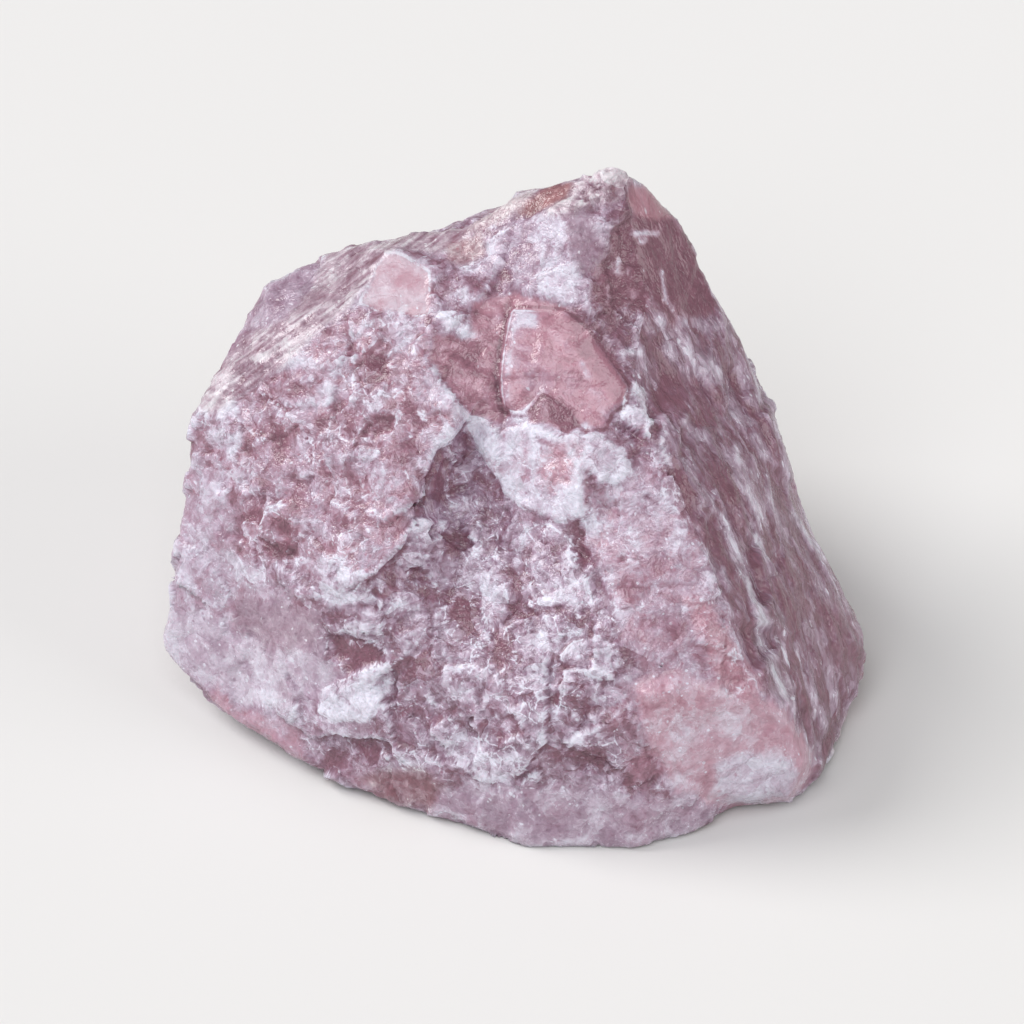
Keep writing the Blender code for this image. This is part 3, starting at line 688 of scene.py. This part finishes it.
def stone_surface():
    skin = even_skin(stone_cage(), SKIN)
    base = read(skin, "co", skin.vertices, 3)
    edges = read(skin, "vertices", skin.edges, 2, np.int64)
    web = Web(len(base), edges)
    out = unit(web.ease(read(skin, "normal", skin.vertices, 3), 4))
    broad = unit(web.ease(out, 60))

    toward = np.array([0.0, -math.cos(TILT), math.sin(TILT)])
    seen = ramp(broad @ toward, -0.10, 0.25)
    base = flattened(base, toward, seen)
    far = 1 - seen
    under = ramp(-out[:, 2], 0.75, 0.95) * ramp(-base[:, 2], -1.2, -0.3)

    at = on_view(base)
    at = at + 1.1 * np.stack([waves(base, 0.9, 71, 2), waves(base, 0.9, 83, 2)], 1)
    loose = at + 2.5 * np.stack([waves(base, 1.8, 72, 2), waves(base, 1.8, 84, 2)], 1)

    # finish of the unseen sides, from noise alone
    patch = waves(bent(base, 3.0, 0.8, 91), 5.5, 92, 3)
    spot = waves(bent(base, 1.2, 0.5, 93), 1.9, 94, 2)
    facing = waves(base, 8.0, 95, 2)
    finish = np.stack([
        0.46 + 0.52 * patch + 0.28 * spot,
        0.36 + 0.58 * waves(bent(base, 2.0, 0.7, 96), 3.4, 97, 2) - 0.32 * patch,
        0.45 + 0.70 * facing,
        0.35 * ramp(waves(base, 10.0, 98, 2), 0.15, 0.4),
        0.15 + 0.65 * ramp(waves(base, 7.0, 99, 2), 0.10, 0.3),
    ], 1)
    front = np.tile([0.42, 0.40, 0.40, 0.0, 0.1], (len(base), 1))
    for outline, soft, *values in ZONES:
        share = ramp(depth_in(loose if soft > 2 else at, outline), -soft, soft)[:, None]
        front += share * (np.array(values) - front)
    # white holds frosting and a few painted glints and highlights; rose holds clear pits and one painted shadow line
    white = np.maximum(0.78 * areas(at, WHITE_AREAS), 0.92 * lines(at, WHITE_LINES))
    rose = np.maximum(areas(at, ROSE_AREAS), lines(at, ROSE_LINES)) * (1 - 0.8 * white)
    front[:, 0] = np.maximum(front[:, 0] * (1 - 0.75 * rose), white)
    front[:, 1] = np.maximum(front[:, 1] * (1 - 0.9 * white), 0.85 * rose)
    finish = web.ease(np.clip(finish * far[:, None] + front * seen[:, None], 0, 1), 1)
    frost_and_highlight, deep_rose_and_shade, warm, tan, calm = finish.T
    white, rose = white * seen, rose * seen

    streaky = ramp(broad[:, 0], 0.42, 0.68) * seen
    streaky = np.maximum(streaky, far * ramp(wave(base, 14.0, 100), 0.1, 0.35))

    # relief: layers of chips that get finer
    along = unit(np.array([[0.361, -0.461, -0.811]]))[0]
    drawn = base - 0.75 * (base @ along)[:, None] * along
    mixed = base + (drawn - base) * (streaky > 0.5)[:, None]
    rough = 1 - 0.9 * calm
    plates, _ = chips(bent(base, 5.0, 0.8, 11), 6.5, 12, 0.06 + 0.05 * far, 0.14 + 0.20 * far)
    flakes, flake_tone = chips(bent(mixed, 2.4, 0.35, 21), 2.9, 22, 0.15, 0.17)
    scales, scale_tone = chips(bent(mixed, 1.2, 0.22, 31), 1.35, 32, 0.13, 0.055)
    bits, bit_tone = chips(bent(mixed, 0.7, 0.10, 41), 0.75, 42, 0.09, 0.02)
    lift = plates * (1 - 0.8 * calm) + (flakes + scales + bits) * rough * (1 - 0.45 * white)
    lift += 0.03 * white - 0.10 * rose
    tone = (0.16 * flake_tone + 0.22 * scale_tone + 0.16 * bit_tone) * (0.35 + 0.65 * rough)
    tone += 0.16 * waves(bent(base, 2.0, 0.5, 151), 2.6, 152, 3, 0.6)

    # ribs of the band along the top left edge
    ribbed = areas(at, [(RIBBED_BAND, 1.0, 1.5)]) * seen
    slant = (at[:, 0] * 0.60 + at[:, 1] * 0.80 + 1.2 * waves(base, 2.0, 131, 2)) / 4.2
    stretch = np.stack([slant, (at[:, 0] * 0.80 - at[:, 1] * 0.60) / 26.0, 0 * slant], 1)
    rib, rib_tone = chips(stretch, 1.0, 133, 0.9, 0.9)
    lift += ribbed * 0.14 * np.clip(rib, -1, 1)
    tone = tone + ribbed * 0.22 * rib_tone

    for outline, height, soft in PLATES:
        lift += height * seen * ramp(depth_in(at, outline), -soft, soft)
    gap, side = beside(at, OVERHANG)
    near = np.exp(-(gap / 14.0) ** 2) * (depth_in(at, [(455, 380), (525, 380), (525, 475), (455, 475)]) > 0)
    lift -= seen * near * 0.30 * ramp(side * gap, -0.8, 0.8)
    lift += ramp(streaky, 0.2, 0.6) * (web.ease(lift, 2) - lift) - 0.10

    up = np.array([0.0, 0.0, 1.0])
    point = base + out * (lift * (1 - under))[:, None]
    flat_relief = 0.10 + 0.25 * np.abs(waves(base, 2.6, 61, 3))
    point += up * (flat_relief * under)[:, None]
    point[:, 2] = np.maximum(point[:, 2], 0.0)
    point[:, 2] -= point[:, 2].min()

    # what the relief does to the finish: raised edges more frosted and hollows deeper rose, partly the stone's own
    # frosted edges and clear pits, partly painted highlight on the edges and painted shade in the hollows
    fine = ((point - web.ease(point, 4)) * out).sum(1)
    wide = ((point - web.ease(point, 30)) * out).sum(1)
    frost_and_highlight = frost_and_highlight + (1.5 * fine + 0.30 * wide) * rough + tone
    deep_rose_and_shade = deep_rose_and_shade - 0.5 * wide * rough - 0.7 * tone
    warm = warm + 0.30 * waves(base, 2.4, 121, 3)

    # where bright threads net the surface: round the clear rose pits and here and there elsewhere
    net = np.maximum(ramp(web.ease(rose, 25), 0.08, 0.35), ramp(wave(base, 3.2, 155), 0.20, 0.45))
    net = net * rough * (1 - 0.8 * ramp(streaky, 0.3, 0.7))

    # how far inside outlined flakes, and inside the glassy facet, in landmark units; the shader paints highlights along
    # these rims
    steady = on_view(base) + 0.5 * (at - on_view(base))
    edge = np.max([np.clip(depth_in(steady, outline), -6, 6) for outline in FLAKES_WITH_PAINTED_RIMS], 0) * seen - 6 * far
    pane = np.clip(depth_in(on_view(base), GLASSY_FACET), -6, 6) * seen - 6 * far

    # where the shader reads its grain: bent, so that the borders of the grains curl
    flow = base + 0.30 * np.stack([waves(base, 1.1, 161 + k, 2, 0.6) for k in range(3)], 1)

    mesh = skin
    mesh.name = "stone_surface"
    flat = ((point - FOOT) * MM).astype(np.float32).ravel()
    mesh.vertices.foreach_set("co", flat)
    for name, values in (("frost_and_highlight", frost_and_highlight), ("deep_rose_and_shade", deep_rose_and_shade), ("calm", calm), ("warm", warm),
                         ("tan", tan), ("streaky", streaky), ("ribbed", ribbed), ("net", net),
                         ("edge", edge), ("pane", pane)):
        layer = mesh.attributes.new(name, "FLOAT", "POINT")
        layer.data.foreach_set("value", values.astype(np.float32))
    layer = mesh.attributes.new("flow", "FLOAT_VECTOR", "POINT")
    layer.data.foreach_set("vector", (flow * MM).astype(np.float32).ravel())
    mesh.update()
    mesh.shade_smooth()
    return mesh


stone = bpy.data.objects.new("stone_surface", stone_surface())
bpy.context.scene.collection.objects.link(stone)
triangles = sum(len(p.vertices) - 2 for p in stone.data.polygons)
print("stone triangles", triangles)
if triangles > MOST_TRIANGLES:
    raise ValueError("too many triangles on the stone")


# ======================================================================================
# Finish
# ======================================================================================
def node(tree, kind, at=(0, 0), **settings):
    made = tree.nodes.new(kind)
    made.location = at
    for key, value in settings.items():
        setattr(made, key, value)
    return made


def attribute(tree, name):
    made = node(tree, "ShaderNodeAttribute", attribute_type="GEOMETRY", attribute_name=name)
    return made.outputs["Fac"]


def sum_up(tree, op, a, b=None, c=None, clamp=False):
    made = node(tree, "ShaderNodeMath", operation=op, use_clamp=clamp)
    for socket, value in zip(made.inputs, (a, b, c)):
        if value is None:
            continue
        if isinstance(value, (int, float)):
            socket.default_value = value
        else:
            tree.links.new(value, socket)
    return made.outputs[0]


def blend_colour(tree, share, a, b, mode="MIX"):
    made = node(tree, "ShaderNodeMix", data_type="RGBA", blend_type=mode, clamp_factor=True)
    for socket, value in ((made.inputs[0], share), (made.inputs[6], a), (made.inputs[7], b)):
        if isinstance(value, (int, float, tuple)):
            socket.default_value = value
        else:
            tree.links.new(value, socket)
    return made.outputs[2]


def range_of(tree, value, low, high, out_low=0.0, out_high=1.0):
    made = node(tree, "ShaderNodeMapRange", interpolation_type="SMOOTHSTEP")
    tree.links.new(value, made.inputs["Value"])
    for key, number_ in (("From Min", low), ("From Max", high), ("To Min", out_low), ("To Max", out_high)):
        made.inputs[key].default_value = number_
    return made.outputs["Result"]


def grain(tree, place, size_mm, detail=2.0, rough=0.5, twist=0.0):
    made = node(tree, "ShaderNodeTexNoise", noise_dimensions="3D", normalize=True)
    tree.links.new(place, made.inputs["Vector"])
    made.inputs["Scale"].default_value = 1.0 / (size_mm * MM)
    made.inputs["Detail"].default_value = detail
    made.inputs["Roughness"].default_value = rough
    made.inputs["Distortion"].default_value = twist
    return made.outputs["Fac"]


def borders(tree, place, size_mm):
    """Distance to the nearest border between grains, in grain sizes."""
    made = node(tree, "ShaderNodeTexVoronoi", voronoi_dimensions="3D", feature="DISTANCE_TO_EDGE")
    tree.links.new(place, made.inputs["Vector"])
    made.inputs["Scale"].default_value = 1.0 / (size_mm * MM)
    return made.outputs["Distance"]


def vector(tree, op, a, b=None, scale=None):
    made = node(tree, "ShaderNodeVectorMath", operation=op)
    for socket, value in ((made.inputs[0], a), (made.inputs[1], b), (made.inputs[3], scale)):
        if value is None:
            continue
        if isinstance(value, (int, float, tuple)):
            socket.default_value = value
        else:
            tree.links.new(value, socket)
    return made.outputs["Value" if op in ("DOT_PRODUCT", "LENGTH") else "Vector"]


def drawn_out(tree, place, streaky, pull):
    """The place, drawn together along the right face's cleavage where the surface is streaky."""
    way = (0.361, -0.461, -0.811)
    share = sum_up(tree, "MULTIPLY", sum_up(tree, "GREATER_THAN", streaky, 0.5), pull)
    pulled = vector(tree, "SCALE", way,
                    scale=sum_up(tree, "MULTIPLY", vector(tree, "DOT_PRODUCT", place, way), share))
    return vector(tree, "SUBTRACT", place, pulled)


def grains(tree, place, size_mm):
    """Small grains: three numbers of its own for each, and the distance from its heart in grain sizes."""
    cell = node(tree, "ShaderNodeTexVoronoi", voronoi_dimensions="3D", feature="F1")
    tree.links.new(place, cell.inputs["Vector"])
    cell.inputs["Scale"].default_value = 1.0 / (size_mm * MM)
    parts = node(tree, "ShaderNodeSeparateXYZ")
    tree.links.new(cell.outputs["Color"], parts.inputs[0])
    return list(parts.outputs), cell.outputs["Distance"]


def shards(tree, place, size_mm, pull):
    """Large broken grains: a number of its own for each, the height of its leaning plane, and the
    place drawn together along a cleavage of its own in each."""
    cell = node(tree, "ShaderNodeTexVoronoi", voronoi_dimensions="3D", feature="F1")
    tree.links.new(place, cell.inputs["Vector"])
    cell.inputs["Scale"].default_value = 1.0 / (size_mm * MM)
    lean = vector(tree, "SUBTRACT", cell.outputs["Color"], (0.5, 0.5, 0.5))
    away = vector(tree, "SUBTRACT", place, cell.outputs["Position"])
    way = vector(tree, "NORMALIZE", lean)
    part = sum_up(tree, "MULTIPLY", vector(tree, "DOT_PRODUCT", away, way), pull)
    parts = node(tree, "ShaderNodeSeparateXYZ")
    tree.links.new(cell.outputs["Color"], parts.inputs[0])
    drawn = vector(tree, "SUBTRACT", place, vector(tree, "SCALE", way, scale=part))
    return parts.outputs[0], vector(tree, "DOT_PRODUCT", away, lean), drawn


def rib_place(tree, place):
    """The place in steps across the ribbed band (fine) and along it (coarse)."""
    across = vector(tree, "DOT_PRODUCT", place,
                    tuple(v / 0.33 for v in (0.60, -0.80 * math.sin(TILT), -0.80 * math.cos(TILT))))
    run = vector(tree, "DOT_PRODUCT", place,
                 tuple(v / 2.6 for v in (0.80, 0.60 * math.sin(TILT), 0.60 * math.cos(TILT))))
    made = node(tree, "ShaderNodeCombineXYZ")
    tree.links.new(across, made.inputs[0])
    tree.links.new(run, made.inputs[1])
    return made.outputs[0]


def thin_lines(tree, value, half_width):
    """1 where a noise passes its middle, 0 away from there."""
    off = sum_up(tree, "ABSOLUTE", sum_up(tree, "SUBTRACT", value, 0.5))
    return range_of(tree, off, 0.0, half_width, 1.0, 0.0)


def calcite():
    material = bpy.data.materials.new("rose_calcite_surface")
    material.use_nodes = True
    tree = material.node_tree
    shader = tree.nodes["Principled BSDF"]
    frost_and_highlight = attribute(tree, "frost_and_highlight")
    deep_rose_and_shade = attribute(tree, "deep_rose_and_shade")
    calm = attribute(tree, "calm")
    warm = attribute(tree, "warm")
    tan = attribute(tree, "tan")
    streaky = attribute(tree, "streaky")
    ribbed = attribute(tree, "ribbed")

    # grains in two sizes, their borders, and a fine dusting
    curled = node(tree, "ShaderNodeAttribute", attribute_type="GEOMETRY", attribute_name="flow").outputs["Vector"]
    place = drawn_out(tree, curled, streaky, 0.60)
    big, big_slope, strokes = shards(tree, place, 1.8, 0.62)
    small, small_heart = grains(tree, place, 0.40)
    border = borders(tree, place, 0.95)
    cloud = grain(tree, strokes, 1.2, 4.0, 0.70)
    dust = grain(tree, place, 0.22, 1.0, 0.6)
    whole = node(tree, "ShaderNodeTexCoord").outputs["Object"]
    ribs = grain(tree, rib_place(tree, whole), 1.0, 1.0, 0.6, 0.7)
    rough_share = sum_up(tree, "MULTIPLY_ADD", calm, -0.70, 1.0)

    # what shifts the colour between clear and frosted, then what only makes it lighter or darker
    mosaic = sum_up(tree, "MULTIPLY_ADD", big, 0.28, -0.14)
    mosaic = sum_up(tree, "ADD", mosaic, sum_up(tree, "MULTIPLY_ADD", small[0], 0.24, -0.12))
    mosaic = sum_up(tree, "MULTIPLY", mosaic, rough_share)
    mosaic = sum_up(tree, "ADD", mosaic, sum_up(tree, "MULTIPLY_ADD", cloud, 1.4, -0.70))
    mosaic = sum_up(tree, "MULTIPLY", mosaic, sum_up(tree, "MULTIPLY_ADD", calm, -0.65, 1.0))
    ribbing = sum_up(tree, "MULTIPLY_ADD", ribs, 1.2, -0.62)
    mosaic = sum_up(tree, "ADD", mosaic, sum_up(tree, "MULTIPLY", ribbing, ribbed))
    grit = sum_up(tree, "MULTIPLY_ADD", dust, 0.75, -0.375)
    grit = sum_up(tree, "ADD", grit, sum_up(tree, "MULTIPLY_ADD", small[0], 0.20, -0.10))
    grit = sum_up(tree, "MULTIPLY_ADD", grit, rough_share, 1.0)

    # bright threads along some borders and through the grains (the stone's lace), a painted highlight along the rims of
    # outlined flakes, and painted glints
    threads = range_of(tree, border, 0.01, 0.09, 1.0, 0.0)
    threads = sum_up(tree, "MULTIPLY", threads, attribute(tree, "net"))
    curls = thin_lines(tree, cloud, 0.008)
    lace_and_highlights = sum_up(tree, "MULTIPLY", sum_up(tree, "MAXIMUM", threads, curls), range_of(tree, dust, 0.36, 0.52))
    lace_and_highlights = sum_up(tree, "MULTIPLY", lace_and_highlights, rough_share)
    edge = attribute(tree, "edge")
    painted_rim_highlight = range_of(tree, sum_up(tree, "ABSOLUTE", edge), 0.1, 0.8, 1.0, 0.0)
    lace_and_highlights = sum_up(tree, "MAXIMUM", lace_and_highlights, sum_up(tree, "MULTIPLY", painted_rim_highlight, range_of(tree, cloud, 0.48, 0.60)))
    # painted highlight inside the left edge of the glassy facet, and the dark line outside it
    pane = attribute(tree, "pane")
    sides = node(tree, "ShaderNodeSeparateXYZ")
    tree.links.new(whole, sides.inputs[0])
    left_side = range_of(tree, sides.outputs[0], 0.0008, 0.0030, 1.0, 0.0)
    painted_pane_highlight = sum_up(tree, "MULTIPLY", range_of(tree, pane, -0.2, 0.4), range_of(tree, pane, 0.7, 1.3, 1.0, 0.0))
    lace_and_highlights = sum_up(tree, "MAXIMUM", lace_and_highlights, sum_up(tree, "MULTIPLY", painted_pane_highlight, left_side))
    # painted glints: white dots on a few small grains, in place of sparkle of light
    painted_glints = sum_up(tree, "MULTIPLY", sum_up(tree, "GREATER_THAN", small[1],
                                             sum_up(tree, "MULTIPLY_ADD", streaky, -0.08, 0.86)),
                    range_of(tree, small_heart, 0.14, 0.34, 1.0, 0.0))
    specks = sum_up(tree, "MULTIPLY", sum_up(tree, "GREATER_THAN", small[2], 0.80),
                    range_of(tree, small_heart, 0.14, 0.40, 1.0, 0.0))
    specks = sum_up(tree, "MULTIPLY", specks, rough_share)

    # body: mauve to salmon, darker where it is deep rose; that deep rose also carries painted shade in hollows and
    # under the overhang
    mauve = (0.262, 0.160, 0.235, 1)
    salmon = (0.430, 0.212, 0.270, 1)
    body = blend_colour(tree, range_of(tree, warm, 0.15, 0.95), mauve, salmon)
    rose = (0.212, 0.094, 0.130, 1)
    deep_mask = sum_up(tree, "SUBTRACT", deep_rose_and_shade, mosaic)
    frame_line = sum_up(tree, "MULTIPLY", range_of(tree, pane, -2.6, -1.6), range_of(tree, pane, -1.0, -0.2, 1.0, 0.0))
    deep_mask = sum_up(tree, "ADD", deep_mask, sum_up(tree, "MULTIPLY", frame_line, 0.45))
    body = blend_colour(tree, range_of(tree, deep_mask, 0.15, 0.95), body, rose)
    milky = blend_colour(tree, range_of(tree, warm, 0.65, 1.0), (0.47, 0.365, 0.465, 1), (0.53, 0.35, 0.43, 1))
    veil = sum_up(tree, "SUBTRACT", sum_up(tree, "ADD", frost_and_highlight, mosaic), sum_up(tree, "MULTIPLY", specks, 0.30))
    veil = sum_up(tree, "SUBTRACT", veil, sum_up(tree, "MULTIPLY", frame_line, 0.30))
    body = blend_colour(tree, range_of(tree, veil, 0.10, 0.75), body, milky)
    white = (0.68, 0.655, 0.755, 1)
    # the white is frost, and also the painted highlights and painted glints carried in here
    white_frost_and_glint_level = sum_up(tree, "ADD", veil, sum_up(tree, "MULTIPLY", lace_and_highlights, 0.50))
    white_frost_and_glint_level = sum_up(tree, "ADD", white_frost_and_glint_level, sum_up(tree, "MULTIPLY", painted_glints, 0.45))
    white_frost_and_glint_mask = range_of(tree, white_frost_and_glint_level, 0.46, 1.02)
    colour = blend_colour(tree, white_frost_and_glint_mask, body, white)
    colour = vector(tree, "SCALE", colour, scale=grit)
    tanned = blend_colour(tree, 1.0, colour, (1.02, 0.93, 0.74, 1), "MULTIPLY")
    colour = blend_colour(tree, tan, colour, tanned)
    tree.links.new(colour, shader.inputs["Base Color"])

    rough = sum_up(tree, "MULTIPLY_ADD", white_frost_and_glint_mask, 0.18, 0.32)
    rough = sum_up(tree, "MULTIPLY_ADD", small[2], -0.14, rough)
    rough = sum_up(tree, "MULTIPLY_ADD", calm, -0.08, rough)
    tree.links.new(rough, shader.inputs["Roughness"])
    shader.inputs["IOR"].default_value = 1.55
    shader.inputs["Specular IOR Level"].default_value = 0.5
    shader.inputs["Subsurface Weight"].default_value = 0.12
    shader.inputs["Subsurface Radius"].default_value = (1.0, 0.6, 0.65)
    shader.inputs["Subsurface Scale"].default_value = 0.0014

    height = sum_up(tree, "MULTIPLY", big_slope, 0.40)
    height = sum_up(tree, "ADD", height, sum_up(tree, "MULTIPLY", dust, 0.00009))
    height = sum_up(tree, "MULTIPLY", height, rough_share)
    bump = node(tree, "ShaderNodeBump")
    bump.inputs["Strength"].default_value = 1.0
    bump.inputs["Distance"].default_value = 1.0
    tree.links.new(height, bump.inputs["Height"])
    tree.links.new(bump.outputs["Normal"], shader.inputs["Normal"])
    return material


stone.data.materials.clear()
stone.data.materials.append(calcite())
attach(stone, "root")
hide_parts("stone")

# ======================================================================================
# Floor, light, camera
# ======================================================================================
def floor():
    bm = bmesh.new()
    bmesh.ops.create_circle(bm, cap_ends=True, radius=6.0, segments=96)
    mesh = bpy.data.meshes.new("floor")
    bm.to_mesh(mesh)
    bm.free()
    made = bpy.data.objects.new("floor", mesh)
    bpy.context.scene.collection.objects.link(made)
    material = bpy.data.materials.new("pale_floor")
    material.use_nodes = True
    shader = material.node_tree.nodes["Principled BSDF"]
    shader.inputs["Base Color"].default_value = (0.745, 0.737, 0.727, 1)
    shader.inputs["Roughness"].default_value = 1.0
    shader.inputs["Specular IOR Level"].default_value = 0.0
    mesh.materials.append(material)
    return made


floor()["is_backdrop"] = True

lo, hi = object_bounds()
middle = (lo + hi) / 2


def far_light(name, place, width, power, colour):
    """Light from a wide source that is far away, so that the floor is lit evenly. Width in degrees."""
    data = bpy.data.lights.new(name, "SUN")
    data.angle = math.radians(width)
    data.energy = power
    data.color = colour
    made = bpy.data.objects.new(name, data)
    bpy.context.scene.collection.objects.link(made)
    made.location = place
    made.rotation_euler = (middle - Vector(place)).to_track_quat("-Z", "Y").to_euler()
    return made


far_light("window", (-0.60, 0.15, 0.60), 33, 2.00, (1.0, 0.985, 0.98))
far_light("sky", (-0.20, -0.55, 0.80), 45, 1.46, (0.95, 0.97, 1.0))
far_light("side", (0.75, -0.30, 0.35), 38, 0.80, (1.0, 0.97, 0.965))

# pale all round; as a light it is weaker than it looks, so that the lamps shape the stone
world = bpy.data.worlds.new("studio")
bpy.context.scene.world = world
world.use_nodes = True
around = world.node_tree.nodes["Background"]
around.inputs["Color"].default_value = (0.94, 0.935, 0.93, 1)
looked_at = world.node_tree.nodes.new("ShaderNodeLightPath")
strength = world.node_tree.nodes.new("ShaderNodeMath")
strength.operation = "MULTIPLY_ADD"
strength.inputs[1].default_value = 0.625
strength.inputs[2].default_value = 0.30
world.node_tree.links.new(looked_at.outputs["Is Camera Ray"], strength.inputs[0])
world.node_tree.links.new(strength.outputs[0], around.inputs["Strength"])

DISTANCE = 0.644           # camera to stone
FRAME_WIDTH = 0.066        # width of the picture at the stone
AIM = seen_landmark(532.5, 428, 0.0) - FOOT
camera = bpy.data.objects.new("camera", bpy.data.cameras.new("camera"))
bpy.context.scene.collection.objects.link(camera)
look = Vector((0.0, math.cos(TILT), -math.sin(TILT)))
camera.location = Vector(AIM * MM) - look * DISTANCE
camera.rotation_euler = look.to_track_quat("-Z", "Y").to_euler()
camera.data.sensor_width = 36.0
camera.data.lens = 36.0 * DISTANCE / FRAME_WIDTH
camera.data.clip_start, camera.data.clip_end = 0.01, 50.0
bpy.context.scene.camera = camera
bpy.context.scene.view_settings.view_transform = "Standard"
bpy.context.scene.cycles.use_denoising = True
bpy.context.scene.cycles.max_bounces = 5
bpy.context.scene.cycles.diffuse_bounces = 2
bpy.context.scene.cycles.glossy_bounces = 2
